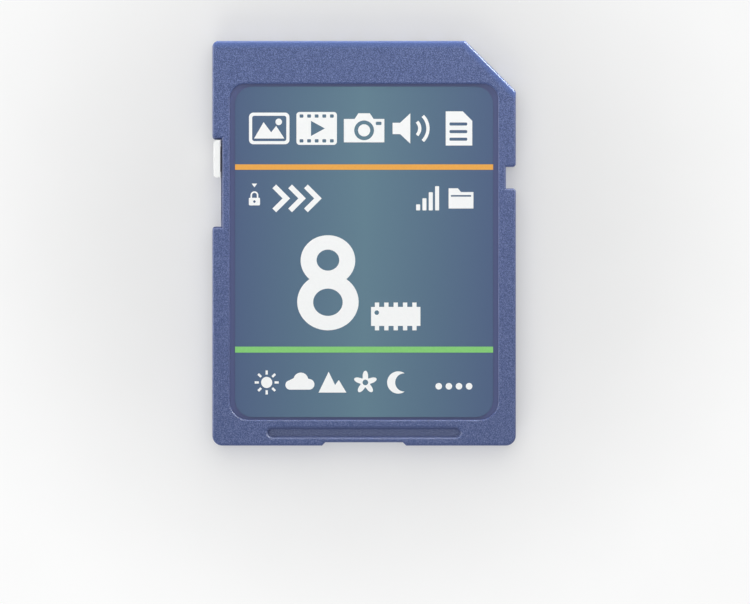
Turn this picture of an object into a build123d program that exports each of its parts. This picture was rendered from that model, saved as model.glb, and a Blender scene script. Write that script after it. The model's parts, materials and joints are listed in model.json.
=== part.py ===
from build123d import *
import os

# Full-size flash memory card: two welded shells, a circuit board with nine contacts,
# a printed label in its recess and a write-protect slider.
# Seen from the label side, X points right and Y towards the contact end. Z points up through the label.
# The origin is the middle of the contact-side face, on which the card lies. All sizes are in millimetres.

# Card body
card_width = 24.0
card_length = 32.0
card_thickness = 2.1
rail_thickness = 1.4  # guide edge that runs in the socket
rail_width = 0.78
corner_chamfer = 4.0  # keyed lead corner
lead_corner_radius = 0.5
tail_corner_radius = 0.8
chamfer_corner_radius = 0.3
body_corner_radius = 0.3  # corners of the thick middle between the guide rails
face_edge_radius = 0.2  # rounding of the label face's outer edges
body_edge_radius = 0.1  # rounding of the contact side's outer edges
front_rim_height = 0.7  # front shell's share of the guide edge
seam_chamfer = 0.05  # each shell's side of the V-groove along the seam

# Walls
lead_wall = 1.0
tail_wall = 1.7
top_wall = 0.25
floor_wall = 0.3

# Label and its recess in the front shell
recess_side_margin = 1.4  # card's side edges to the recess
recess_lead_margin = 3.4  # card's lead edge to the recess
recess_depth = 0.2
recess_lead_radius = 1.2
recess_tail_radius = 1.45
recess_edge_radius = 0.15
label_side_gap = 0.4
label_end_gap = 0.21
label_radius = 1.4
label_thickness = 0.1

# Fingernail groove and the shallow notch at the tail edge
groove_length = 15.4
groove_width = 0.91
groove_strip = 0.12  # flat strip between the groove and the tail notch
groove_recess_gap = 0.56  # between the groove and the label recess
groove_depth = 0.33
groove_wall_slope = 30.0  # degrees from upright
groove_edge_radius = 0.18
tail_notch_width = 6.65
tail_notch_depth = 0.26
tail_notch_slope = 45.0  # degrees

# Side notches, measured from the lead edge
slider_notch_start = 7.69
slider_notch_length = 7.08
latch_notch_start = 9.96
latch_notch_length = 1.7
notch_radius = 0.25  # where a notch meets the card's edge

# Write-protect slider
slider_length = 2.97
slider_edge_setback = 0.11  # tab's outer face behind the card's edge
slider_face_setback = 0.08  # tab below the label face and above the contact-side step
slider_relief = 0.1  # rear shell's notch is this much smaller all round, and guides the tab
slider_corner_radius = 0.25  # outer corners, where the thumb pushes
slider_edge_chamfer = 0.03
slider_neck_length = 2.0
slider_neck_height = 0.3
slider_flange_length = 3.5
slider_flange_lip = 0.15  # how far the flange stands past the neck, up and down
slider_wall = 0.3  # wall between the notch and the slider's channel
slider_channel_width = 0.47
slider_clearance = 0.05

# Back recess on the contact side
back_recess_side_margin = 2.1
back_recess_slot_gap = 1.1  # between the longest contact slot and the back recess
back_recess_tail_margin = 1.5
back_recess_depth = 0.1
back_recess_radius = 1.0

# Contacts, numbered as in the socket; contact 9 lies beside the keyed corner
keyed_contact_margin = 2.625  # middle of contact 9 to the card's edge
last_contact_margin = 2.175  # middle of contact 8 to the other edge
last_contact_pitch = 1.7  # between contacts 7 and 8; the others are evenly spread
contact_slot_width = 1.65
narrow_slot_width = 1.05  # contacts 7 and 8
contact_slot_length = 5.5
keyed_slot_extra = 1.3  # slot 9 ends this much further from the lead edge
contact_lead_gap = 0.4  # board's lead edge to a contact
contact_corner_gap = 0.2  # board's bevel to a contact
contact_slot_gap = 0.05  # contact to the sides of its slot
contact_thickness = 0.03
lead_in_chamfer = 0.3  # bevel where the socket's springs run on

# Circuit board and what holds it
board_thickness = 0.3
board_gap = 0.1
ledge_width = 0.7  # ledge of the rear shell under the board's edge
lip_width = 0.5  # lip of the front shell on the board's edge
lip_clearance = 0.03
support_rib_width = 0.8
support_rib_spacing = 7.0
peg_diameter = 1.0
peg_clearance = 0.05
peg_side_inset = 1.6  # from the board's edges
peg_tail_inset = 1.3
peg_height = 0.3  # above the board

# Memory chip with gull-wing leads on two sides; it fills the board between the pegs and the controller
memory_side_gap = 1.85  # feet of the leads to the board's edges
memory_peg_gap = 0.8
memory_head_gap = 0.07  # below the cavity's top
memory_standoff = 0.05
lead_pitch = 0.5
lead_end_margin = 0.25  # middle of the last lead to the chip's corner
lead_width = 0.22
lead_thickness = 0.1
lead_shoulder = 0.22
lead_slant = 0.18
lead_foot = 0.4

# Controller chip
controller_size = 6.0
controller_head_gap = 0.12
controller_gap = 1.8  # from the memory chip
controller_lead_gap = 6.7  # from the board's lead edge
controller_offset = 3.0  # from the card's middle
chip_edge_chamfer = 0.1
chip_mark_diameter = 0.8
chip_mark_depth = 0.06
chip_mark_inset = 1.1

# Chip capacitors and resistors, in two columns beside the controller
capacitor_count = 4
resistor_count = 4
component_length = 1.0
component_width = 0.5
terminal_length = 0.2
capacitor_head_gap = 0.17
resistor_head_gap = 0.3
component_pitch = 1.3
component_column_gap = 1.0

# Heights and places that follow from the sizes above
half_width = card_width / 2
half_length = card_length / 2
contact_level = card_thickness - rail_thickness
seam_level = card_thickness - front_rim_height
recess_level = card_thickness - recess_depth
cavity_top = recess_level - top_wall
floor_top = back_recess_depth + floor_wall
board_bottom = contact_level + contact_thickness
board_top = board_bottom + board_thickness
component_room = cavity_top - board_top
cavity_half_width = half_width - rail_width - slider_wall - slider_channel_width
cavity_lead = half_length - lead_wall
cavity_tail = tail_wall - half_length
board_half_width = cavity_half_width - board_gap
board_lead = cavity_lead - board_gap
board_tail = cavity_tail + board_gap
peg_y = board_tail + peg_tail_inset
lead_reach = lead_shoulder + lead_slant + lead_foot
memory_length = 2 * (board_half_width - memory_side_gap - lead_reach)
memory_tail = peg_y + peg_diameter / 2 + memory_peg_gap
controller_y = board_lead - controller_lead_gap - controller_size / 2
memory_lead = controller_y - controller_size / 2 - controller_gap
memory_height = component_room - memory_standoff - memory_head_gap
groove_lead = tail_notch_depth + face_edge_radius + groove_strip + groove_width - half_length
recess_half_width = half_width - recess_side_margin
recess_lead = half_length - recess_lead_margin
recess_tail = groove_lead + groove_recess_gap
keyed_slot_length = contact_slot_length + keyed_slot_extra
key_line = half_width + half_length - corner_chamfer  # x plus y along the keyed corner
neck_top = seam_level - slider_clearance
neck_bottom = neck_top - slider_neck_height
slider_gap = slider_relief + slider_clearance  # between the tab and the front shell's notch
tab_lead = half_length - slider_notch_start - slider_gap
tab_middle = tab_lead - slider_length / 2
slider_travel = slider_notch_length - slider_length - 2 * slider_gap


def block(x, y, z):
    """A box between the low and high values of each axis."""
    middle = [(low + high) / 2 for low, high in (x, y, z)]
    return Pos(*middle) * Box(x[1] - x[0], y[1] - y[0], z[1] - z[0])


def prism(plan, low, high):
    """A plan drawn on the XY plane, raised between two heights."""
    return extrude(Pos(0, 0, low) * plan, high - low, dir=(0, 0, 1))


def keyed_plan(right, tail, lead, corner):
    """A rectangle, even about the Y axis, with a bevel across one corner: corner is x plus y along it."""
    points = [(-right, tail), (right, tail), (right, corner - right), (corner - lead, lead), (-right, lead)]
    return make_face(Polyline(*points, close=True))


def corners_at(plan, x=None, y=None):
    """The corners of a plan that lie at the given x, y or both."""
    near = 1e-4
    return [
        corner
        for corner in plan.vertices()
        if (x is None or abs(corner.X - x) < near) and (y is None or abs(corner.Y - y) < near)
    ]


def inner_key_line(inset):
    """x plus y along a line that lies inside the keyed corner by the lead wall and an inset."""
    return key_line - 2**0.5 * (lead_wall + inset)


def inner_plan(inset):
    """The cavity's plan, taken in by inset all round, with its bevel parallel to the card's keyed corner."""
    return keyed_plan(
        cavity_half_width - inset, cavity_tail + inset, cavity_lead - inset, inner_key_line(inset)
    )


def tail_notched(plan):
    """A plan with the shallow notch cut in its tail edge."""
    cut = Trapezoid(tail_notch_width, tail_notch_depth, tail_notch_slope, align=(Align.CENTER, Align.MIN))
    return plan - Pos(0, -half_length) * cut


def card_plan(slider_inset=0):
    """The card's outline with rounded corners, the two side notches and the shallow notch at the tail.
    The slider's notch is taken in all round by slider_inset."""
    plan = keyed_plan(half_width, -half_length, half_length, key_line)
    plan = fillet(corners_at(plan, y=-half_length), tail_corner_radius)
    plan = fillet(corners_at(plan, -half_width, half_length), lead_corner_radius)
    bevel_ends = [(half_width, half_length - corner_chamfer), (half_width - corner_chamfer, half_length)]
    plan = fillet([corners_at(plan, *end)[0] for end in bevel_ends], chamfer_corner_radius)

    for side, start, length, inset in (
        (-1, slider_notch_start, slider_notch_length, slider_inset),
        (1, latch_notch_start, latch_notch_length, 0),
    ):
        lead_end = half_length - start - inset
        length -= 2 * inset
        middle = (side * half_width, lead_end - length / 2)
        plan -= Pos(*middle) * Rectangle(2 * (rail_width - inset), length)
        for y in (lead_end, lead_end - length):
            plan = fillet(corners_at(plan, side * half_width, y), notch_radius)
    return tail_notched(plan)


def body_plan():
    """The thick middle of the card between the two guide rails."""
    side = half_width - rail_width
    plan = keyed_plan(side, -half_length, half_length, key_line)
    plan = fillet(corners_at(plan, y=-half_length) + corners_at(plan, -side, half_length), body_corner_radius)
    plan = fillet(corners_at(plan, half_width - corner_chamfer, half_length), chamfer_corner_radius)
    return tail_notched(plan)


def recess_plan():
    """The label recess, with larger corners at the tail."""
    plan = Rectangle(2 * recess_half_width, recess_lead - recess_tail)
    plan = Pos(0, (recess_lead + recess_tail) / 2) * plan
    plan = fillet(corners_at(plan, y=recess_lead), recess_lead_radius)
    return fillet(corners_at(plan, y=recess_tail), recess_tail_radius)


def label_plan():
    """The label, inside the recess with a gap all round."""
    width = 2 * (recess_half_width - label_side_gap)
    length = recess_lead - recess_tail - 2 * label_end_gap
    return Pos(0, (recess_lead + recess_tail) / 2) * RectangleRounded(width, length, label_radius)


def edges_at(part, height):
    """The edges of a part that lie flat at one height."""
    return part.edges().filter_by_position(Axis.Z, height - 1e-4, height + 1e-4)


def rim_edges(part, span, half):
    """The label face's edges round a hollow that lies within a span of y and a half width."""
    near = 1e-3
    return [
        edge
        for edge in edges_at(part, card_thickness)
        if span[0] - near <= edge.center().Y <= span[1] + near and abs(edge.center().X) <= half + near
    ]


def slider_channel():
    """The hollow in which the slider's neck and flange run, open to the notch through a narrow slot."""
    wall_outside = rail_width - half_width
    wall_inside = wall_outside + slider_wall
    reach = slider_flange_length / 2 + slider_clearance
    channel = block(
        (wall_inside, -cavity_half_width + lip_clearance),
        (tab_middle - slider_travel - reach, tab_middle + reach),
        (
            neck_bottom - slider_flange_lip - slider_clearance,
            neck_top + slider_flange_lip + slider_clearance,
        ),
    )
    reach = slider_neck_length / 2 + slider_clearance
    slot = block(
        (wall_outside - slider_gap, wall_inside),
        (tab_middle - slider_travel - reach, tab_middle + reach),
        (neck_bottom - slider_clearance, seam_level),
    )
    return channel + slot


def front_shell():
    """Label-side half: rim, label recess, fingernail groove and the lip that holds the board down."""
    shell = prism(card_plan(), seam_level, card_thickness)
    shell = fillet(edges_at(shell, card_thickness), face_edge_radius)
    shell = chamfer(edges_at(shell, seam_level), seam_chamfer)

    shell -= prism(recess_plan(), recess_level, card_thickness)
    shell = fillet(rim_edges(shell, (recess_tail, recess_lead), recess_half_width), recess_edge_radius)

    groove_y = groove_lead - groove_width / 2
    groove = Pos(0, groove_y, card_thickness) * SlotOverall(groove_length, groove_width)
    shell -= extrude(groove, groove_depth, dir=(0, 0, -1), taper=groove_wall_slope)
    groove_span = (groove_lead - groove_width, groove_lead)
    shell = fillet(rim_edges(shell, groove_span, groove_length / 2), groove_edge_radius)

    shell -= prism(inner_plan(0), seam_level, cavity_top)
    lip_plan = inner_plan(lip_clearance) - inner_plan(lip_clearance + lip_width)
    shell += prism(lip_plan, board_top, cavity_top)
    return shell - slider_channel()


def contact_places():
    """Each contact's number, x, slot width and distance of its slot's end from the lead edge."""
    x_last = last_contact_margin - half_width
    x_keyed = half_width - keyed_contact_margin
    pitch = (x_keyed - x_last - last_contact_pitch) / 7
    places = [(9, x_keyed, contact_slot_width, keyed_slot_length)]
    for number in range(1, 7):
        places.append((number, x_keyed - number * pitch, contact_slot_width, contact_slot_length))
    places.append((7, x_last + last_contact_pitch, narrow_slot_width, contact_slot_length))
    places.append((8, x_last, narrow_slot_width, contact_slot_length))
    return places


def rear_shell():
    """Contact-side half: guide rails, comb of contact slots, board ledge, locating pegs and slider wall."""
    shell = prism(card_plan(slider_relief), contact_level, seam_level)
    shell = chamfer(edges_at(shell, seam_level), seam_chamfer)
    body = prism(body_plan(), 0, contact_level)
    body = fillet(edges_at(body, 0), body_edge_radius)
    lead_half = block((-half_width, half_width), (0, half_length), (0, contact_level))
    shell += body - (lead_in_bevel(0) & lead_half)

    shell -= prism(inner_plan(0), board_bottom, seam_level)
    pocket_lead = half_length - keyed_slot_length - ledge_width
    pocket_tail = cavity_tail + ledge_width
    pocket_half_width = cavity_half_width - ledge_width
    pocket_span = (pocket_tail, pocket_lead)
    pocket_levels = (floor_top, board_bottom)
    shell -= block((-pocket_half_width, pocket_half_width), pocket_span, pocket_levels)
    for side in (-1, 1):
        rib_x = side * support_rib_spacing / 2
        rib = (rib_x - support_rib_width / 2, rib_x + support_rib_width / 2)
        shell += block(rib, pocket_span, pocket_levels)

    slot_tops = lead_in_bevel(contact_level) + prism(inner_plan(0), contact_level, board_bottom)
    for _, x, width, length in contact_places():
        sides = (x - width / 2, x + width / 2)
        reach = (half_length - length, half_length)
        shell -= block(sides, reach, (0, contact_level))
        shell -= slot_tops & block(sides, reach, (contact_level, seam_level))

    for x, y in peg_places():
        shell += Pos(x, y) * prism(Circle(peg_diameter / 2), floor_top, board_top + peg_height)

    lead = half_length - keyed_slot_length - back_recess_slot_gap
    tail = back_recess_tail_margin - half_length
    width = card_width - 2 * back_recess_side_margin
    back = Pos(0, (lead + tail) / 2) * RectangleRounded(width, lead - tail, back_recess_radius)
    shell -= prism(back, 0, back_recess_depth)
    return shell - slider_channel()


def lead_in_bevel(level):
    """What a 45 degree bevel takes off the card's outline, from a level upwards."""
    plan = keyed_plan(half_width, -half_length, half_length, key_line)
    kept = extrude(Pos(0, 0, level + lead_in_chamfer) * plan, lead_in_chamfer, dir=(0, 0, -1), taper=45)
    return prism(plan, level, level + lead_in_chamfer) - kept


def peg_places():
    """Two pegs near the board's tail corners."""
    x = board_half_width - peg_side_inset
    return [(-x, peg_y), (x, peg_y)]


def circuit_board():
    """Thin board that fills the cavity's plan, with a hole over each locating peg."""
    board = prism(inner_plan(board_gap), board_bottom, board_top)
    for x, y in peg_places():
        board -= Pos(x, y) * prism(Circle(peg_diameter / 2 + peg_clearance), board_bottom, board_top)
    return board


def contacts():
    """The nine plated contacts under the board's lead edge, one in each slot."""
    made = {}
    for number, x, width, length in contact_places():
        half = width / 2 - contact_slot_gap
        lead = min(board_lead - contact_lead_gap, inner_key_line(board_gap) - contact_corner_gap - x - half)
        tail = half_length - length + contact_slot_gap
        made[f"contact_{number}"] = block((x - half, x + half), (tail, lead), (contact_level, board_bottom))
    return made


def write_protect_slider():
    """Tab in the notch, neck through the slot and a flange that keeps it in its channel."""
    tab_outside = slider_edge_setback - half_width
    tab_inside = rail_width - half_width - slider_gap
    wall_inside = rail_width - half_width + slider_wall
    tab_low = contact_level + slider_face_setback
    tab_high = card_thickness - slider_face_setback
    tab = block((tab_outside, tab_inside), (tab_lead - slider_length, tab_lead), (tab_low, tab_high))
    tab = fillet(tab.edges().filter_by(Axis.Z).sort_by(Axis.X)[:2], slider_corner_radius)
    tab = chamfer(edges_at(tab, tab_low) + edges_at(tab, tab_high), slider_edge_chamfer)
    neck = block(
        (tab_inside, wall_inside + slider_clearance),
        (tab_middle - slider_neck_length / 2, tab_middle + slider_neck_length / 2),
        (neck_bottom, neck_top),
    )
    flange = block(
        (wall_inside + slider_clearance, -cavity_half_width - slider_clearance),
        (tab_middle - slider_flange_length / 2, tab_middle + slider_flange_length / 2),
        (neck_bottom - slider_flange_lip, neck_top + slider_flange_lip),
    )
    return tab + neck + flange


def front_label():
    """Printed film on the recess floor."""
    return prism(label_plan(), recess_level, recess_level + label_thickness)


def chip(x, y, z):
    """A moulded chip package with a bevelled top edge and a round mark beside its first lead."""
    package = chamfer(edges_at(block(x, y, z), z[1]), chip_edge_chamfer)
    mark = Pos(x[0] + chip_mark_inset, y[1] - chip_mark_inset) * Circle(chip_mark_diameter / 2)
    return package - prism(mark, z[1] - chip_mark_depth, z[1])


def memory_chip():
    """Memory package, held just above the board by its leads."""
    half = memory_length / 2
    base = board_top + memory_standoff
    return chip((-half, half), (memory_tail, memory_lead), (base, base + memory_height))


def memory_leads():
    """Gull-wing leads along both ends of the memory chip, as one group of separate solids."""
    start = memory_length / 2
    middle = board_top + memory_standoff + memory_height / 2
    outline = [
        (start, middle + lead_thickness / 2),
        (start + lead_shoulder, middle + lead_thickness / 2),
        (start + lead_reach - lead_foot, board_top + lead_thickness),
        (start + lead_reach, board_top + lead_thickness),
        (start + lead_reach, board_top),
        (start + lead_reach - lead_foot - lead_thickness / 2, board_top),
        (start + lead_shoulder - lead_thickness / 2, middle - lead_thickness / 2),
        (start, middle - lead_thickness / 2),
    ]
    lead = extrude(make_face(Plane.XZ * Polyline(*outline, close=True)), lead_width / 2, both=True)
    gaps = int((memory_lead - memory_tail - 2 * lead_end_margin) / lead_pitch + 1e-6)
    first_y = (memory_lead + memory_tail - gaps * lead_pitch) / 2
    row = [Pos(0, first_y + i * lead_pitch) * lead for i in range(gaps + 1)]
    return Compound(children=row + [mirror(one, Plane.YZ) for one in row])


def controller_chip():
    """Controller package, which sits flat on the board."""
    half = controller_size / 2
    return chip(
        (controller_offset - half, controller_offset + half),
        (controller_y - half, controller_y + half),
        (board_top, cavity_top - controller_head_gap),
    )


def small_components():
    """Chip capacitors in one column and resistors in the next, with their plated ends as one group."""
    made = {}
    terminals = []
    body_length = component_length - 2 * terminal_length
    column_x = controller_offset - controller_size / 2 - component_column_gap - component_length / 2
    for kind, count, head_gap in (
        ("capacitor", capacitor_count, capacitor_head_gap),
        ("resistor", resistor_count, resistor_head_gap),
    ):
        for i in range(count):
            y = controller_y + (i - (count - 1) / 2) * component_pitch
            sides = (y - component_width / 2, y + component_width / 2)
            levels = (board_top, cavity_top - head_gap)
            ends = (column_x - body_length / 2, column_x + body_length / 2)
            made[f"{kind}_{i + 1}"] = block(ends, sides, levels)
            terminals.append(block((ends[0] - terminal_length, ends[0]), sides, levels))
            terminals.append(block((ends[1], ends[1] + terminal_length), sides, levels))
        column_x -= component_length + component_column_gap
    made["component_terminals"] = Compound(children=terminals)
    return made


nodes = {
    "front_shell": front_shell(),
    "rear_shell": rear_shell(),
    "write_protect_slider": write_protect_slider(),
    "front_label": front_label(),
    "circuit_board": circuit_board(),
    "memory_chip": memory_chip(),
    "memory_leads": memory_leads(),
    "controller_chip": controller_chip(),
    **contacts(),
    **small_components(),
}

os.makedirs("parts", exist_ok=True)
for name, shape in nodes.items():
    export_step(shape, f"parts/{name}.step")

print(f"slider travel {slider_travel:.2f} mm")
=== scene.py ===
import json
import math

import bmesh
import bpy
from mathutils import Matrix, Vector

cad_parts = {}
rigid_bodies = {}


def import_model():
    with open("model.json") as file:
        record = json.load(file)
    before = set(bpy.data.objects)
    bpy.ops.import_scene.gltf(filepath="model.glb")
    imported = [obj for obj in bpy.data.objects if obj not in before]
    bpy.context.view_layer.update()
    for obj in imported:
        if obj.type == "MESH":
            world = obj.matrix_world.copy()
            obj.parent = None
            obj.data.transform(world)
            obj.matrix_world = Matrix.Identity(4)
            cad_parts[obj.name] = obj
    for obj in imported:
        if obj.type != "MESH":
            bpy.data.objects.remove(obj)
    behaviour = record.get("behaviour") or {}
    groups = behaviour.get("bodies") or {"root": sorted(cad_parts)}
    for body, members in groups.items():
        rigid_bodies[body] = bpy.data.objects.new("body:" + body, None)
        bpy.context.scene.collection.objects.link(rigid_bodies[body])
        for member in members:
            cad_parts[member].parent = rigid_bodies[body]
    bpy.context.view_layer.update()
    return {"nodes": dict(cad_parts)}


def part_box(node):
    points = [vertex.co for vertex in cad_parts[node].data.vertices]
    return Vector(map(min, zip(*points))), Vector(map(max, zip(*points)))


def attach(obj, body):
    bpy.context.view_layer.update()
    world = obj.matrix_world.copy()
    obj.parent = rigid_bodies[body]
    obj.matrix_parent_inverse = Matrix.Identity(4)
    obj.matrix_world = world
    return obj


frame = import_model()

# Looks of a full-size flash memory card that lies on its contact side, seen from straight above.
# Lengths in this script are millimetres in the card's own frame, and mm turns them into metres.
mm = 0.001

# The photograph's frame, and where the card lies in it
photo_width_px = 750
photo_height_px = 604
card_middle_px = (364.1, 243.3)
px_per_mm = 12.65
lens_mm = 400
sensor_mm = 36

# The card, its label and its slider, as the frame gives them
card_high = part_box("front_shell")[1]
half_width = card_high.x / mm
half_length = card_high.y / mm
card_face = card_high.z / mm
label_low, label_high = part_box("front_label")
label_half_width = label_high.x / mm
label_face = label_high.z / mm
recess_floor = label_low.z / mm
slider_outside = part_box("write_protect_slider")[0].x / mm

# Sizes of the card's cuts, which the frame doesn't give
keyed_corner = 4.0  # how far the bevel cuts into both edges
groove_half_length = 8.0  # of the fingernail groove, with its rims
groove_band = (-15.4, -14.35)  # low and high y of that groove, with its rims
groove_depth = 0.33  # of that groove, below the card's face
slider_tab_width = 0.52  # outer face of the slider's tab to its neck

# Print on the label
ink_thickness = 0.01
arc_step = 7.5  # degrees between the points of an arc
weld_distance = 1e-4  # points of the ink that lie closer than this become one
upper_bar = (5.81, 6.24)  # low and high y of the orange bar
lower_bar = (-8.64, -8.17)  # and of the green bar
media_row_y = 9.08
media_row_pitch = 3.75
icon_row_y = 3.55
lock_x = -8.67
arrows_x = -5.35
signal_x = 5.02
folder_x = 7.66
figure_place = (-2.86, -3.12)
chip_place = (2.5, -5.78)
scene_row_y = -11.0
scene_row_start = -7.7
scene_row_pitch = 2.6
dots_x = 7.1

# A Mix node's colours go by number, because its numbers and vectors have sockets of the same names
colour_a = 6
colour_b = 7
mixed_colour = 2


def linear(colour):
    """An sRGB hex colour as linear red, green, blue and alpha."""
    parts = [int(colour[i : i + 2], 16) / 255 for i in (1, 3, 5)]
    return [p / 12.92 if p <= 0.04045 else ((p + 0.055) / 1.055) ** 2.4 for p in parts] + [1]


def add(tree, kind, inputs=None, **settings):
    """Adds a node, with its settings, and its inputs set to values or linked to sockets.
    An input goes by its name, or by its number where names repeat."""
    made = tree.nodes.new("ShaderNode" + kind)
    for name, value in settings.items():
        setattr(made, name, value)
    for key, value in (inputs or {}).items():
        if isinstance(value, bpy.types.NodeSocket):
            tree.links.new(value, made.inputs[key])
        else:
            made.inputs[key].default_value = value
    return made


def new_material(name):
    """An empty material, its tree, its surface shader and the coordinates of the piece in metres."""
    material = bpy.data.materials.new(name)
    material.use_nodes = True
    tree = material.node_tree
    surface = tree.nodes["Principled BSDF"]
    place = add(tree, "TexCoord").outputs["Object"]
    return material, tree, surface, place


def label_recess(tree, where):
    """1 on the floor of the label recess, and 0 elsewhere on the card."""
    slack_mm = 0.06
    return add(
        tree, "Math", {0: where["Z"], 1: recess_floor * mm, 2: slack_mm * mm}, operation="COMPARE"
    ).outputs[0]


def fingernail_groove(tree, where):
    """1 in the fingernail groove, and 0 elsewhere on the card."""
    below_face_mm = 0.03
    groove_low, groove_high = groove_band
    spans = (
        ("X", 0, groove_half_length),
        ("Y", (groove_low + groove_high) / 2, (groove_high - groove_low) / 2),
        ("Z", card_face - groove_depth / 2 - below_face_mm, groove_depth / 2),
    )
    inside = 1.0
    for axis, middle, half in spans:
        within = add(
            tree, "Math", {0: where[axis], 1: middle * mm, 2: half * mm}, operation="COMPARE"
        ).outputs[0]
        inside = add(tree, "Math", {0: inside, 1: within}, operation="MULTIPLY").outputs[0]
    return inside


def grained_faces(tree, in_recess, in_groove):
    """1 on the broad faces and in the groove, and 0 on upright walls and in the label recess."""
    facing = add(tree, "TexCoord").outputs["Normal"]
    upright = add(tree, "SeparateXYZ", {"Vector": facing}).outputs["Z"]
    level = add(tree, "Math", {0: upright}, operation="ABSOLUTE").outputs[0]
    broad = add(tree, "MapRange", {"Value": level, "From Min": 0.35, "From Max": 0.75}).outputs["Result"]
    textured = add(tree, "Math", {0: broad, 1: in_groove}, operation="MAXIMUM").outputs[0]
    outside = add(tree, "Math", {0: 1.0, 1: in_recess}, operation="SUBTRACT").outputs[0]
    return add(tree, "Math", {0: textured, 1: outside}, operation="MULTIPLY").outputs[0]


def rubbed_and_highlit_front(tree, place, where):
    """1 on the upper rim of the lead end and of the keyed corner, which fades to 0 on the face behind it.
    It marks their wear, a smoother finish, and their painted highlight, a brighter blue.
    """
    band_mm = 0.62
    reach_down_mm = 0.25
    past_lead = add(tree, "Math", {0: where["Y"], 1: half_length * mm}, operation="SUBTRACT").outputs[0]
    slant = 2**-0.5
    along_slant = add(
        tree, "VectorMath", {0: place, 1: (slant, slant, 0)}, operation="DOT_PRODUCT"
    ).outputs["Value"]
    slant_edge = (half_width + half_length - keyed_corner) * slant * mm
    past_slant = add(tree, "Math", {0: along_slant, 1: slant_edge}, operation="SUBTRACT").outputs[0]
    past_front = add(tree, "Math", {0: past_lead, 1: past_slant}, operation="MAXIMUM").outputs[0]
    near_front = add(
        tree, "MapRange", {"Value": past_front, "From Min": -band_mm * mm, "From Max": 0.0}
    ).outputs["Result"]
    rim_foot = (card_face - reach_down_mm) * mm
    on_rim = add(tree, "Math", {0: where["Z"], 1: rim_foot}, operation="GREATER_THAN").outputs[0]
    return add(tree, "Math", {0: near_front, 1: on_rim}, operation="MULTIPLY").outputs[0]


def spark_eroded_abs():
    """Blue ABS, moulded in a spark-eroded tool: the broad faces and the groove have a fine, pale grain that
    hides gloss. The side walls and the label recess came from polished steel and shine, and the recess is
    painted a darker blue as painted shade. The pale flecks are painted lighter at the lead end and darker at
    the tail, a painted falloff of the light from the lead end. Along the lead end and the keyed corner,
    which rub in the socket, the grain is rubbed smooth, and their upper rims are painted a clearer, brighter
    blue as a painted highlight. The groove is painted a paler grey, as a painted reflection over it."""
    material, tree, surface, place = new_material("spark_eroded_blue_abs")
    where = add(tree, "SeparateXYZ", {"Vector": place}).outputs
    in_recess = label_recess(tree, where)
    in_groove = fingernail_groove(tree, where)
    grained = grained_faces(tree, in_recess, in_groove)
    rim_wear_and_highlight = rubbed_and_highlit_front(tree, place, where)

    grain_mm = 0.075  # about twice as coarse as it is, so that it shows
    grain_depth_mm = 0.022
    grain_lift = (0, 0, 0.3 * grain_mm * mm)  # takes the flat faces off the noise's even planes
    lifted = add(tree, "Mapping", {"Vector": place, "Location": grain_lift}).outputs["Vector"]
    grain = add(
        tree,
        "TexNoise",
        {"Vector": lifted, "Scale": 1 / (grain_mm * mm), "Detail": 2.0, "Roughness": 0.6},
    ).outputs["Fac"]
    fleck = add(tree, "MapRange", {"Value": grain, "From Min": 0.42, "From Max": 0.72}).outputs["Result"]
    # painted falloff: the pale flecks are painted lighter at the lead end and darker at the tail, as the
    # light falls off from the lead end
    half = half_length * mm
    along = add(
        tree, "MapRange", {"Value": where["Y"], "From Min": -half, "From Max": half}
    ).outputs["Result"]
    pale = add(
        tree,
        "Mix",
        {"Factor": along, colour_a: linear("#6d79a4"), colour_b: linear("#7585ba")},
        data_type="RGBA",
    ).outputs[mixed_colour]
    speckled = add(
        tree, "Mix", {"Factor": fleck, colour_a: linear("#2f4374"), colour_b: pale}, data_type="RGBA"
    ).outputs[mixed_colour]
    # painted shade: the label recess is painted a darker blue than the polished walls, as shade in it
    polished = add(
        tree,
        "Mix",
        {"Factor": in_recess, colour_a: linear("#5c699d"), colour_b: linear("#465180")},
        data_type="RGBA",
    ).outputs[mixed_colour]
    face = add(
        tree, "Mix", {"Factor": grained, colour_a: polished, colour_b: speckled}, data_type="RGBA"
    ).outputs[mixed_colour]
    # painted reflection: the groove is painted a pale grey, a grey veil over its shaded walls and floor
    painted_reflection_cover = 0.1
    groove_painted_reflection = add(tree, "MapRange", {"Value": in_groove, "To Max": painted_reflection_cover}).outputs["Result"]
    with_painted_reflection = add(
        tree, "Mix", {"Factor": groove_painted_reflection, colour_a: face, colour_b: linear("#969ba2")}, data_type="RGBA"
    ).outputs[mixed_colour]
    # painted highlight: the upper rims of the lead end and the keyed corner are painted a clearer, brighter
    # blue, as if lit; their lower roughness is their real wear
    colour = add(
        tree, "Mix", {"Factor": rim_wear_and_highlight, colour_a: with_painted_reflection, colour_b: linear("#506bad")}, data_type="RGBA"
    ).outputs[mixed_colour]

    unworn = add(tree, "Math", {0: 1.0, 1: rim_wear_and_highlight}, operation="SUBTRACT").outputs[0]
    rough = add(tree, "Math", {0: grained, 1: unworn}, operation="MULTIPLY").outputs[0]
    roughness = add(tree, "MapRange", {"Value": rough, "To Min": 0.28, "To Max": 0.45}).outputs["Result"]
    bump = add(
        tree, "Bump", {"Strength": rough, "Distance": grain_depth_mm * mm, "Height": grain}
    ).outputs["Normal"]
    tree.links.new(colour, surface.inputs["Base Color"])
    tree.links.new(roughness, surface.inputs["Roughness"])
    tree.links.new(bump, surface.inputs["Normal"])
    surface.inputs["IOR"].default_value = 1.54
    return material


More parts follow.
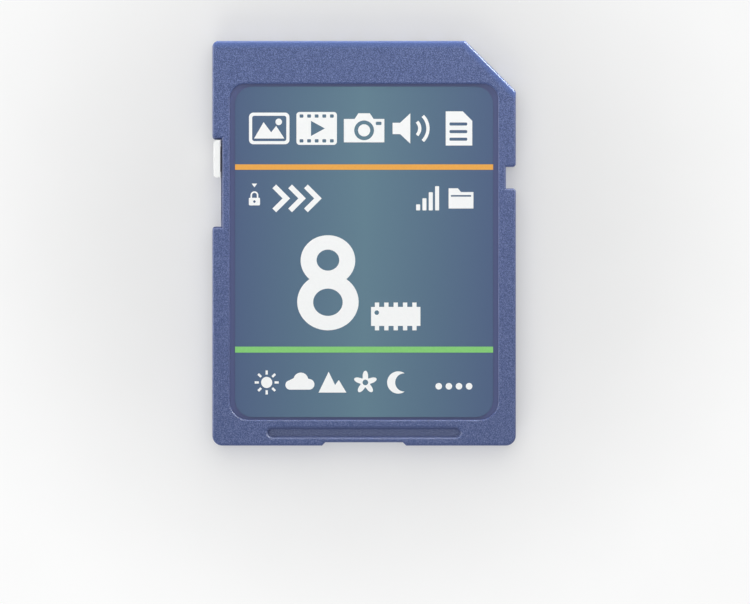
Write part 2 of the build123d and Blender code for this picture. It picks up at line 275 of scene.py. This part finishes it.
def moulded_acetal():
    """White acetal from a polished tool: bright, waxy and slightly soft, with faint flow marks.
    The neck, which slides in its slot, is painted a dark grey, as painted shade in the gap beside the tab."""
    material, tree, surface, place = new_material("moulded_white_acetal")
    flow_mm = 0.6
    flow = add(
        tree, "TexNoise", {"Vector": place, "Scale": 1 / (flow_mm * mm), "Detail": 3.0}
    ).outputs["Fac"]
    acetal_colour = add(
        tree,
        "Mix",
        {"Factor": flow, colour_a: linear("#eeefed"), colour_b: linear("#f6f7f6")},
        data_type="RGBA",
    ).outputs[mixed_colour]
    # painted shade: the neck, seen only down the gap beside the tab, is painted a dark grey
    across = add(tree, "SeparateXYZ", {"Vector": place}).outputs["X"]
    neck_start = (slider_outside + slider_tab_width) * mm
    neck = add(tree, "Math", {0: across, 1: neck_start}, operation="GREATER_THAN").outputs[0]
    colour = add(
        tree, "Mix", {"Factor": neck, colour_a: acetal_colour, colour_b: linear("#676b80")}, data_type="RGBA"
    ).outputs[mixed_colour]
    roughness = add(tree, "MapRange", {"Value": flow, "To Min": 0.26, "To Max": 0.4}).outputs["Result"]
    tree.links.new(colour, surface.inputs["Base Color"])
    tree.links.new(roughness, surface.inputs["Roughness"])
    surface.inputs["IOR"].default_value = 1.48
    return material


def printed_label_film():
    """Polypropylene label film under a matt varnish: a smooth print that brightens from both sides to the
    middle, with the faint mottle of the varnish."""
    material, tree, surface, place = new_material("printed_polypropylene_film")
    across = add(tree, "SeparateXYZ", {"Vector": place}).outputs["X"]
    distance = add(tree, "Math", {0: across}, operation="ABSOLUTE").outputs[0]
    share = add(
        tree, "MapRange", {"Value": distance, "From Max": label_half_width * mm}
    ).outputs["Result"]
    fade = add(tree, "ValToRGB", {"Fac": share})
    stops = fade.color_ramp.elements
    stops[0].color = linear("#5d7c8c")
    stops[1].color = linear("#4a5e80")
    halfway = stops.new(0.5)
    halfway.color = linear("#536e85")
    mottle_mm = 0.25
    mottle_depth_mm = 0.002
    mottle = add(
        tree, "TexNoise", {"Vector": place, "Scale": 1 / (mottle_mm * mm), "Detail": 2.0}
    ).outputs["Fac"]
    roughness = add(tree, "MapRange", {"Value": mottle, "To Min": 0.42, "To Max": 0.52}).outputs["Result"]
    bump = add(
        tree, "Bump", {"Strength": 0.3, "Distance": mottle_depth_mm * mm, "Height": mottle}
    ).outputs["Normal"]
    tree.links.new(fade.outputs["Color"], surface.inputs["Base Color"])
    tree.links.new(roughness, surface.inputs["Roughness"])
    tree.links.new(bump, surface.inputs["Normal"])
    surface.inputs["IOR"].default_value = 1.49
    surface.inputs["Specular IOR Level"].default_value = 0.3
    return material


def screen_ink(name, dark, light):
    """Screen-printed ink: an opaque, satin film, with the faint orange-peel of its drying."""
    material, tree, surface, place = new_material(name)
    peel_mm = 0.2
    peel_depth_mm = 0.003
    peel = add(
        tree, "TexNoise", {"Vector": place, "Scale": 1 / (peel_mm * mm), "Detail": 2.0}
    ).outputs["Fac"]
    colour = add(
        tree, "Mix", {"Factor": peel, colour_a: linear(dark), colour_b: linear(light)}, data_type="RGBA"
    ).outputs[mixed_colour]
    bump = add(
        tree, "Bump", {"Strength": 0.25, "Distance": peel_depth_mm * mm, "Height": peel}
    ).outputs["Normal"]
    tree.links.new(colour, surface.inputs["Base Color"])
    tree.links.new(bump, surface.inputs["Normal"])
    surface.inputs["Roughness"].default_value = 0.45
    surface.inputs["IOR"].default_value = 1.5
    surface.inputs["Specular IOR Level"].default_value = 0.3
    return material


def hard_gold_plate():
    """Hard gold on nickel: a warm, bright metal, with fine wipe marks along the way the springs run."""
    material, tree, surface, place = new_material("hard_gold_plate")
    wipe_mm = 0.05
    wipe_depth_mm = 0.002
    wipe_squeeze = (1, 0.04, 1)  # a mark is 25 times as long as it is wide
    stretched = add(tree, "Mapping", {"Vector": place, "Scale": wipe_squeeze}).outputs["Vector"]
    wipes = add(
        tree, "TexNoise", {"Vector": stretched, "Scale": 1 / (wipe_mm * mm), "Detail": 2.0}
    ).outputs["Fac"]
    colour = add(
        tree,
        "Mix",
        {"Factor": wipes, colour_a: linear("#cfa049"), colour_b: linear("#e6c277")},
        data_type="RGBA",
    ).outputs[mixed_colour]
    roughness = add(tree, "MapRange", {"Value": wipes, "To Min": 0.2, "To Max": 0.38}).outputs["Result"]
    bump = add(
        tree, "Bump", {"Strength": 0.2, "Distance": wipe_depth_mm * mm, "Height": wipes}
    ).outputs["Normal"]
    tree.links.new(colour, surface.inputs["Base Color"])
    tree.links.new(roughness, surface.inputs["Roughness"])
    tree.links.new(bump, surface.inputs["Normal"])
    surface.inputs["Metallic"].default_value = 1.0
    return material


def solder_mask_on_laminate():
    """Green solder mask over woven glass laminate: a glossy coat through which the weave just shows."""
    material, tree, surface, place = new_material("solder_mask_on_glass_laminate")
    yarn_mm = 0.45
    yarn_depth_mm = 0.004
    wave_scale = math.tau / 20 / (yarn_mm * mm)  # the wave turns by 20 radians in each unit
    warp = add(
        tree, "TexWave", {"Vector": place, "Scale": wave_scale}, bands_direction="X"
    ).outputs["Fac"]
    weft = add(
        tree, "TexWave", {"Vector": place, "Scale": wave_scale}, bands_direction="Y"
    ).outputs["Fac"]
    weave = add(tree, "Math", {0: warp, 1: weft}, operation="MULTIPLY").outputs[0]
    colour = add(
        tree,
        "Mix",
        {"Factor": weave, colour_a: linear("#1b5437"), colour_b: linear("#2a6a47")},
        data_type="RGBA",
    ).outputs[mixed_colour]
    bump = add(
        tree, "Bump", {"Strength": 0.2, "Distance": yarn_depth_mm * mm, "Height": weave}
    ).outputs["Normal"]
    tree.links.new(colour, surface.inputs["Base Color"])
    tree.links.new(bump, surface.inputs["Normal"])
    surface.inputs["Roughness"].default_value = 0.3
    surface.inputs["Coat Weight"].default_value = 0.5
    return material


def moulded_epoxy():
    """Black mould compound: silica-filled epoxy with a dull, finely pitted skin."""
    material, tree, surface, place = new_material("moulded_black_epoxy")
    filler_mm = 0.09  # about twice as coarse as it is, so that it shows
    pit_depth_mm = 0.006
    filler = add(
        tree, "TexNoise", {"Vector": place, "Scale": 1 / (filler_mm * mm), "Detail": 3.0}
    ).outputs["Fac"]
    colour = add(
        tree,
        "Mix",
        {"Factor": filler, colour_a: linear("#1d1e20"), colour_b: linear("#2d2e31")},
        data_type="RGBA",
    ).outputs[mixed_colour]
    bump = add(
        tree, "Bump", {"Strength": 0.4, "Distance": pit_depth_mm * mm, "Height": filler}
    ).outputs["Normal"]
    tree.links.new(colour, surface.inputs["Base Color"])
    tree.links.new(bump, surface.inputs["Normal"])
    surface.inputs["Roughness"].default_value = 0.62
    return material


def matt_tin_plate():
    """Matt tin on copper: a soft grey metal with a cloudy, fine crystal."""
    material, tree, surface, place = new_material("matt_tin_plate")
    crystal_mm = 0.08  # much coarser than it is, so that it shows
    crystal = add(
        tree, "TexVoronoi", {"Vector": place, "Scale": 1 / (crystal_mm * mm)}
    ).outputs["Distance"]
    colour = add(
        tree,
        "Mix",
        {"Factor": crystal, colour_a: linear("#aeb1b4"), colour_b: linear("#cfd1d3")},
        data_type="RGBA",
    ).outputs[mixed_colour]
    roughness = add(tree, "MapRange", {"Value": crystal, "To Min": 0.32, "To Max": 0.5}).outputs["Result"]
    tree.links.new(colour, surface.inputs["Base Color"])
    tree.links.new(roughness, surface.inputs["Roughness"])
    surface.inputs["Metallic"].default_value = 1.0
    return material


def fired_ceramic(name, dark, light, roughness):
    """Fired ceramic body of a small component: dense and fine-grained, with a speckle of its powder."""
    material, tree, surface, place = new_material(name)
    powder_mm = 0.05  # much coarser than it is, so that it shows
    powder_depth_mm = 0.003
    powder = add(
        tree, "TexNoise", {"Vector": place, "Scale": 1 / (powder_mm * mm), "Detail": 3.0}
    ).outputs["Fac"]
    colour = add(
        tree, "Mix", {"Factor": powder, colour_a: linear(dark), colour_b: linear(light)}, data_type="RGBA"
    ).outputs[mixed_colour]
    bump = add(
        tree, "Bump", {"Strength": 0.3, "Distance": powder_depth_mm * mm, "Height": powder}
    ).outputs["Normal"]
    tree.links.new(colour, surface.inputs["Base Color"])
    tree.links.new(bump, surface.inputs["Normal"])
    surface.inputs["Roughness"].default_value = roughness
    return material


def finish_nodes():
    """Gives each piece of the card its material."""
    shell = spark_eroded_abs()
    gold = hard_gold_plate()
    epoxy = moulded_epoxy()
    tin = matt_tin_plate()
    capacitor = fired_ceramic("fired_capacitor_ceramic", "#977c5b", "#b39a79", roughness=0.5)
    resistor = fired_ceramic("glazed_resistor_ceramic", "#1f2124", "#34373c", roughness=0.25)
    finishes = {
        "front_shell": shell,
        "rear_shell": shell,
        "write_protect_slider": moulded_acetal(),
        "front_label": printed_label_film(),
        "circuit_board": solder_mask_on_laminate(),
        "memory_chip": epoxy,
        "controller_chip": epoxy,
        "memory_leads": tin,
        "component_terminals": tin,
        "contact": gold,
        "capacitor": capacitor,
        "resistor": resistor,
    }
    for name, node in frame["nodes"].items():
        kind = name if name in finishes else name.split("_")[0]
        node.data.materials.clear()
        node.data.materials.append(finishes[kind])


# Signs of the print: closed outlines about their own middle, where one inside another leaves a hole


def arc(x, y, radius, start, end):
    """Points along an arc, from one angle to another in degrees."""
    steps = max(2, round(abs(end - start) / arc_step))
    turns = [math.radians(start + (end - start) * i / steps) for i in range(steps + 1)]
    return [(x + radius * math.cos(t), y + radius * math.sin(t)) for t in turns]


def disc(x, y, radius):
    """A full circle as a closed outline."""
    return arc(x, y, radius, 0, 360)[:-1]


def plate(x, y, width, height, radius):
    """A rectangle with round corners, about its middle."""
    right, top = width / 2 - radius, height / 2 - radius
    return (
        arc(x + right, y + top, radius, 0, 90)
        + arc(x - right, y + top, radius, 90, 180)
        + arc(x - right, y - top, radius, 180, 270)
        + arc(x + right, y - top, radius, 270, 360)
    )


def line(points, width):
    """The outline of a line of even width, mitred at its bends and cut square at its ends."""
    spine = [Vector(p) for p in points]
    runs = [(b - a).normalized() for a, b in zip(spine, spine[1:])]
    left, right = [], []
    for i, point in enumerate(spine):
        before = runs[max(i - 1, 0)]
        after = runs[min(i, len(runs) - 1)]
        across = (before + after).normalized().orthogonal()
        reach = across * (width / 2 / across.dot(after.orthogonal()))
        left.append(tuple(point + reach))
        right.append(tuple(point - reach))
    return left + right[::-1]


def camera_sign():
    """A camera: body with a raised finder, a lens and a flash window."""
    body = [(-1.6, -1.1), (1.6, -1.1), (1.6, 0.75), (0.75, 0.75)]
    body += [(0.45, 1.2), (-0.45, 1.2), (-0.75, 0.75), (-1.6, 0.75)]
    return [body, disc(0, -0.15, 0.78), disc(0, -0.15, 0.48), plate(1.15, 0.4, 0.45, 0.26, 0.08)]


def picture_sign():
    """A picture: a frame with a sun over two hills."""
    hills = [(-1.2, -0.8), (1.2, -0.8), (0.55, 0.2), (0.15, -0.3), (-0.45, 0.5)]
    return [plate(0, 0, 3.2, 2.5, 0.35), plate(0, 0, 2.7, 2.0, 0.18), hills, disc(0.75, 0.52, 0.26)]


def film_sign():
    """A strip of film with its holes, and a triangle for play."""
    first_hole, hole_pitch, hole_row = -1.2, 0.6, 0.98
    holes = [
        plate(first_hole + hole_pitch * i, side * hole_row, 0.3, 0.26, 0.06)
        for i in range(5)
        for side in (-1, 1)
    ]
    return [plate(0, 0, 3.2, 2.6, 0.25), [(-0.45, -0.6), (0.65, 0), (-0.45, 0.6)]] + holes


def sound_sign():
    """A loudspeaker with two waves."""
    horn = [(-1.5, -0.45), (-0.9, -0.45), (-0.1, -1.2), (-0.1, 1.2), (-0.9, 0.45), (-1.5, 0.45)]
    mouth_x, stroke = -0.1, 0.26
    return [horn] + [line(arc(mouth_x, 0, radius, -45, 45), stroke) for radius in (0.75, 1.4)]


def page_sign():
    """A page with a folded corner and three lines."""
    sheet = [(-1.05, -1.35), (1.05, -1.35), (1.05, 0.6), (0.3, 1.35), (-1.05, 1.35)]
    return [sheet] + [plate(-0.05, y, 1.4, 0.24, 0.08) for y in (0.35, -0.25, -0.85)]


def padlock_sign():
    """A closed padlock with a keyhole, under a small arrowhead that points down at it."""
    shackle = [(-0.25, 0.05)] + arc(0, 0.25, 0.25, 180, 0) + [(0.25, 0.05)]
    arrowhead = [(-0.22, 1.17), (0, 0.88), (0.22, 1.17)]
    return [plate(0, -0.25, 0.88, 0.6, 0.08), disc(0, -0.25, 0.1), line(shackle, 0.12), arrowhead]


def arrow_signs():
    """Three arrowheads in a row."""
    pitch, stroke = 1.25, 0.42
    tips = (-pitch, 0, pitch)
    return [line([(x - 0.5, 0.95), (x + 0.45, 0), (x - 0.5, -0.95)], stroke) for x in tips]


def signal_sign():
    """Four bars that rise in even steps."""
    first_bar, bar_pitch, bar_width = -0.75, 0.5, 0.32
    foot, step = -0.95, 0.48
    bars = [(first_bar + bar_pitch * i, step * (i + 1)) for i in range(4)]
    return [plate(x, foot + height / 2, bar_width, height, 0.06) for x, height in bars]


def folder_sign():
    """A folder with a tab and a fold line."""
    folder = [(-0.98, -0.8), (0.98, -0.8), (0.98, 0.5), (0, 0.5), (-0.25, 0.8), (-0.98, 0.8)]
    return [folder, plate(0, 0.2, 1.6, 0.13, 0.03)]


def figure_eight():
    """A plain bold figure: two bowls that run together, each with a round counter."""
    upper, lower = 2.0, 2.25
    upper_y, lower_y = 1.76, -1.51
    stroke = 1.17
    counter_shift = 0.03
    widen = 1.08
    rise = upper_y - lower_y
    waist_y = lower_y + (rise**2 + lower**2 - upper**2) / (2 * rise)
    upper_turn = math.degrees(math.asin((waist_y - upper_y) / upper))
    lower_turn = math.degrees(math.asin((waist_y - lower_y) / lower))
    outline = arc(0, upper_y, upper, upper_turn, 180 - upper_turn)
    outline += arc(0, lower_y, lower, 180 - lower_turn, 360 + lower_turn)[1:-1]
    upper_counter = disc(0, upper_y + counter_shift, upper - stroke)
    lower_counter = disc(0, lower_y - counter_shift, lower - stroke)
    return [[(x * widen, y) for x, y in loop] for loop in (outline, upper_counter, lower_counter)]


def chip_sign():
    """A memory chip with five legs on two sides, drawn as one outline, and its first-leg mark."""
    body_half_length, body_half_width = 1.95, 0.75
    leg_width, leg_length, leg_pitch = 0.34, 0.35, 0.74
    tip = body_half_width + leg_length
    side = [(-body_half_length, body_half_width)]
    for i in range(5):
        x = (i - 2) * leg_pitch
        left, right = x - leg_width / 2, x + leg_width / 2
        side += [(left, body_half_width), (left, tip), (right, tip), (right, body_half_width)]
    side.append((body_half_length, body_half_width))
    return [side + [(-x, -y) for x, y in side], disc(-1.5, 0.3, 0.18)]


def sun_sign():
    """A sun with eight rays."""
    ray_start, ray_end, ray_width = 0.62, 0.95, 0.18
    turns = [math.radians(45 * i) for i in range(8)]
    rays = [[(r * math.cos(t), r * math.sin(t)) for r in (ray_start, ray_end)] for t in turns]
    return [disc(0, 0, 0.44)] + [line(ray, ray_width) for ray in rays]


def cloud_sign():
    """A cloud of three round heaps on a flat base."""
    right = arc(0.75, -0.15, 0.42, -90, 80)
    top = arc(0.1, 0.2, 0.58, 10, 165)
    left = arc(-0.75, -0.2, 0.37, 100, 270)
    return [right + top + left]


def mountain_sign():
    """Two peaks."""
    return [[(-1.1, -0.8), (1.1, -0.8), (0.5, 0.2), (0.2, -0.2), (-0.3, 0.85)]]


def flower_sign():
    """A flower with five round petals and an open middle."""
    petals, petal_middle, petal_swell = 5, 0.66, 0.27
    turns = [math.radians(5 * i) for i in range(72)]
    reach = [(t, petal_middle + petal_swell * math.sin(petals * t)) for t in turns]
    return [[(r * math.cos(t), r * math.sin(t)) for t, r in reach], disc(0, 0, 0.22)]


def moon_sign():
    """A crescent between two arcs that share their tips."""
    radius, shift, tip = 0.88, 0.48, 55
    tip_x = radius * math.cos(math.radians(tip))
    tip_y = radius * math.sin(math.radians(tip))
    inner = math.hypot(tip_x - shift, tip_y)
    inner_tip = math.degrees(math.atan2(tip_y, tip_x - shift))
    return [arc(0, 0, radius, tip, 360 - tip) + arc(shift, 0, inner, 360 - inner_tip, inner_tip)[1:-1]]


def dots_sign():
    """Four dots in a row, set a little low."""
    first_dot, dot_pitch, dots_y, dot_radius = -1.2, 0.8, -0.3, 0.26
    return [disc(first_dot + dot_pitch * i, dots_y, dot_radius) for i in range(4)]


def moved(loops, x, y):
    """Outlines moved to a place on the label."""
    return [[(px + x, py + y) for px, py in loop] for loop in loops]


def print_on_label(name, loops, ink):
    """Outlines filled by the even-odd rule, as a thin film of ink on the label that moves with the card."""
    drawing = bpy.data.curves.new(name, "CURVE")
    drawing.dimensions = "2D"
    drawing.fill_mode = "BOTH"
    drawing.extrude = ink_thickness / 2
    for loop in loops:
        outline = drawing.splines.new("POLY")
        outline.points.add(len(loop) - 1)
        for point, (x, y) in zip(outline.points, loop):
            point.co = (x, y, 0, 1)
        outline.use_cyclic_u = True
    drawn = bpy.data.objects.new(name, drawing)
    mesh = bpy.data.meshes.new_from_object(drawn)
    bpy.data.objects.remove(drawn)
    film = bmesh.new()
    film.from_mesh(mesh)
    bmesh.ops.remove_doubles(film, verts=film.verts, dist=weld_distance)
    bmesh.ops.recalc_face_normals(film, faces=film.faces)
    film.to_mesh(mesh)
    film.free()
    mesh.transform(Matrix.Translation((0, 0, label_face + ink_thickness / 2)))
    mesh.transform(Matrix.Scale(mm, 4))
    mesh.materials.clear()
    mesh.materials.append(ink)
    piece = bpy.data.objects.new(name, mesh)
    bpy.context.scene.collection.objects.link(piece)
    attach(piece, "card")


def print_label():
    """Two colour bars across the label, a plain figure, and rows of plain signs."""
    white = screen_ink("white_screen_ink", "#f2f3f2", "#f8f9f8")
    orange = screen_ink("orange_screen_ink", "#e6a143", "#eead51")
    green = screen_ink("green_screen_ink", "#7dc66f", "#89ce7b")
    reach = label_half_width
    for name, (low, high), ink in (("upper_bar", upper_bar, orange), ("lower_bar", lower_bar, green)):
        print_on_label(name, [[(-reach, low), (reach, low), (reach, high), (-reach, high)]], ink)

    media = {
        "picture": picture_sign(),
        "film": film_sign(),
        "camera": camera_sign(),
        "sound": sound_sign(),
        "page": page_sign(),
    }
    for i, (name, loops) in enumerate(media.items()):
        x = (i - (len(media) - 1) / 2) * media_row_pitch
        print_on_label(name + "_sign", moved(loops, x, media_row_y), white)

    print_on_label("lock_sign", moved(padlock_sign(), lock_x, icon_row_y), white)
    print_on_label("speed_sign", moved(arrow_signs(), arrows_x, icon_row_y), white)
    print_on_label("signal_sign", moved(signal_sign(), signal_x, icon_row_y), white)
    print_on_label("folder_sign", moved(folder_sign(), folder_x, icon_row_y), white)
    print_on_label("figure", moved(figure_eight(), *figure_place), white)
    print_on_label("chip_sign", moved(chip_sign(), *chip_place), white)

    scenes = {
        "sun": sun_sign(),
        "cloud": cloud_sign(),
        "mountain": mountain_sign(),
        "flower": flower_sign(),
        "moon": moon_sign(),
    }
    for i, (name, loops) in enumerate(scenes.items()):
        x = scene_row_start + i * scene_row_pitch
        print_on_label(name + "_sign", moved(loops, x, scene_row_y), white)
    print_on_label("dots_sign", moved(dots_sign(), dots_x, scene_row_y), white)


def pale_floor():
    """A plain pale floor under the card. It glows, and more away from the card, so that it looks as pale as
    paper. Only the eye, mirrors and glass see that glow, which casts no light on the card."""
    material, tree, surface, place = new_material("pale_painted_board")
    half = 600 * mm
    grain_mm = 6
    near_mm, near_glow = 14, 0.3
    far_mm, far_glow = 36, 0.46
    grain = add(
        tree, "TexNoise", {"Vector": place, "Scale": 1 / (grain_mm * mm), "Detail": 2.0}
    ).outputs["Fac"]
    colour = add(
        tree,
        "Mix",
        {"Factor": grain, colour_a: linear("#cbcbca"), colour_b: linear("#cfcfce")},
        data_type="RGBA",
    ).outputs[mixed_colour]
    rays = add(tree, "LightPath").outputs
    seen = rays["Is Camera Ray"]
    for ray in ("Is Glossy Ray", "Is Transmission Ray"):
        seen = add(tree, "Math", {0: seen, 1: rays[ray]}, operation="ADD").outputs[0]
    # painted shade: the glow is weaker near the card, a painted soft shade round it
    from_card = add(tree, "VectorMath", {0: place}, operation="LENGTH").outputs["Value"]
    paleness = add(
        tree,
        "MapRange",
        {
            "Value": from_card,
            "From Min": near_mm * mm,
            "From Max": far_mm * mm,
            "To Min": near_glow,
            "To Max": far_glow,
        },
        interpolation_type="SMOOTHSTEP",
    ).outputs["Result"]
    glow = add(tree, "Math", {0: seen, 1: paleness}, operation="MULTIPLY").outputs[0]
    tree.links.new(colour, surface.inputs["Base Color"])
    tree.links.new(glow, surface.inputs["Emission Strength"])
    surface.inputs["Emission Color"].default_value = linear("#ffffff")
    surface.inputs["Roughness"].default_value = 0.8
    corners = [(-half, -half, 0), (half, -half, 0), (half, half, 0), (-half, half, 0)]
    mesh = bpy.data.meshes.new("floor")
    mesh.from_pydata(corners, [], [(0, 1, 2, 3)])
    mesh.materials.append(material)
    floor = bpy.data.objects.new("floor", mesh)
    bpy.context.scene.collection.objects.link(floor)


def card_pieces():
    """All pieces of the card as one group, for lamps that are flagged off the floor."""
    group = bpy.data.collections.new("card_pieces")
    for piece in bpy.context.scene.objects:
        if piece.type == "MESH":
            group.objects.link(piece)
    return group


def soft_lamp(name, place, size, power, lights=True, shines=True, lit_only=None):
    """A softbox that looks at the card's middle. One that doesn't light only gives highlights, one that
    doesn't shine gives none, and one may reach a group of pieces only."""
    light = bpy.data.lights.new(name, "AREA")
    light.shape = "RECTANGLE"
    light.size = size[0] * mm
    light.size_y = size[1] * mm
    light.energy = power
    lamp = bpy.data.objects.new(name, light)
    lamp.location = Vector(place) * mm
    lamp.rotation_euler = (-Vector(place)).to_track_quat("-Z", "Y").to_euler()
    lamp.visible_camera = False
    lamp.visible_diffuse = lights
    lamp.visible_glossy = shines
    lamp.light_linking.receiver_collection = lit_only
    bpy.context.scene.collection.objects.link(lamp)


def studio_light(card):
    """A wide softbox high over the lead end, and low lamps at the keyed corner, the lead end and the left,
    which pick out the rims and are flagged off the floor. Two of those only give glints. A dull fill comes
    from the tail, and even light from all round."""
    left = {"place": (-164, 23, 22), "size": (60, 30), "power": 0.1}
    soft_lamp("lead_softbox", place=(0, 260, 400), size=(700, 700), power=1.2)
    soft_lamp("keyed_corner_lamp", place=(75, 90, 25), size=(40, 40), power=0.068, lit_only=card)
    soft_lamp("lead_lamp", place=(-16, 116, 25), size=(40, 40), power=0.04, lit_only=card)
    soft_lamp("left_lamp", **left, lit_only=card)
    soft_lamp("left_glint_lamp", **left, lights=False, lit_only=card)
    soft_lamp(
        "keyed_glint_lamp", place=(80, 85, 35), size=(110, 30), power=0.32, lights=False, lit_only=card
    )
    soft_lamp("tail_fill_lamp", place=(-60, -220, 125), size=(200, 200), power=0.22, shines=False)
    world = bpy.data.worlds.new("studio")
    world.use_nodes = True
    bpy.context.scene.world = world
    background = world.node_tree.nodes["Background"]
    background.inputs["Color"].default_value = linear("#f4f5f7")
    background.inputs["Strength"].default_value = 0.45


def photo_camera():
    """A long lens straight above, set off to the side so that the card lies where the photograph has it."""
    camera = bpy.data.cameras.new("camera")
    camera.lens = lens_mm
    camera.sensor_width = sensor_mm
    camera.clip_start = 10 * mm
    camera.clip_end = 10000 * mm
    view_width = photo_width_px / px_per_mm
    distance = view_width * lens_mm / sensor_mm
    right = (photo_width_px / 2 - card_middle_px[0]) / px_per_mm
    down = (photo_height_px / 2 - card_middle_px[1]) / px_per_mm
    rig = bpy.data.objects.new("camera", camera)
    rig.location = Vector((right, -down, label_face + distance)) * mm
    bpy.context.scene.collection.objects.link(rig)
    bpy.context.scene.camera = rig


finish_nodes()
print_label()
card = card_pieces()
pale_floor()
studio_light(card)
photo_camera()
bpy.context.scene.view_settings.view_transform = "Standard"
